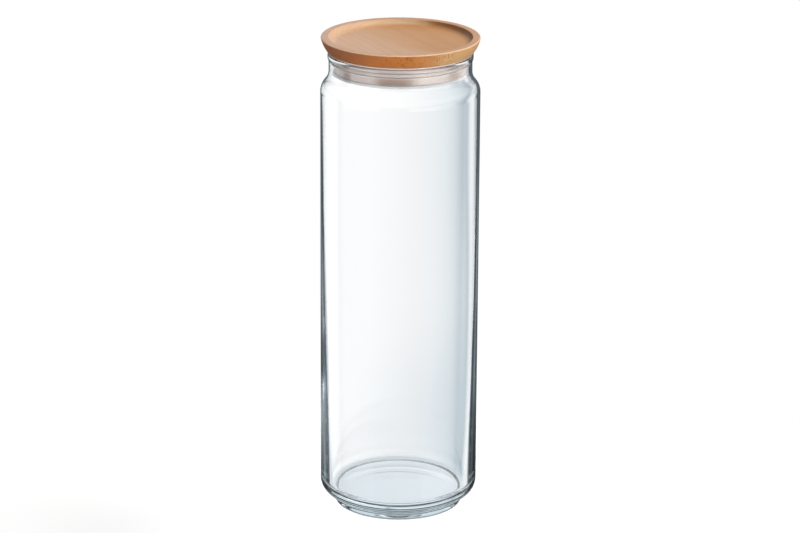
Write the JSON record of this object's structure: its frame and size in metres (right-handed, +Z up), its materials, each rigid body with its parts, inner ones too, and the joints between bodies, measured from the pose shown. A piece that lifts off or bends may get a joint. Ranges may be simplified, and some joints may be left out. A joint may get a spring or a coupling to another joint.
{
  "type": "storage jar",
  "caption": "Tall clear glass storage jar with a stepped foot, a short neck and a dished wooden lid whose plug carries a finned translucent seal.",
  "frame": {"origin": "middle of the base, on the surface that the jar stands on", "axes": "+Z up along the axis of the jar; X and Y are level and alike, because every piece is turned round Z"},
  "size_m": [0.1, 0.1, 0.3072],
  "materials": {
    "clear_glass": "clear blown glass, smooth and glossy",
    "beech_wood": "turned beech, oiled, satin, with short dark flecks",
    "translucent_seal": "frosted translucent moulding"
  },
  "bodies": {
    "jar": {"glass_jar": "clear_glass"},
    "lid": {"wooden_lid": "beech_wood", "seal_ring": "translucent_seal"}
  },
  "joints": [
    {"name": "lid_lift", "type": "slide", "parent": "jar", "child": "lid", "axis": [0, 0, 1], "range_m": [0, 0.035]}
  ]
}
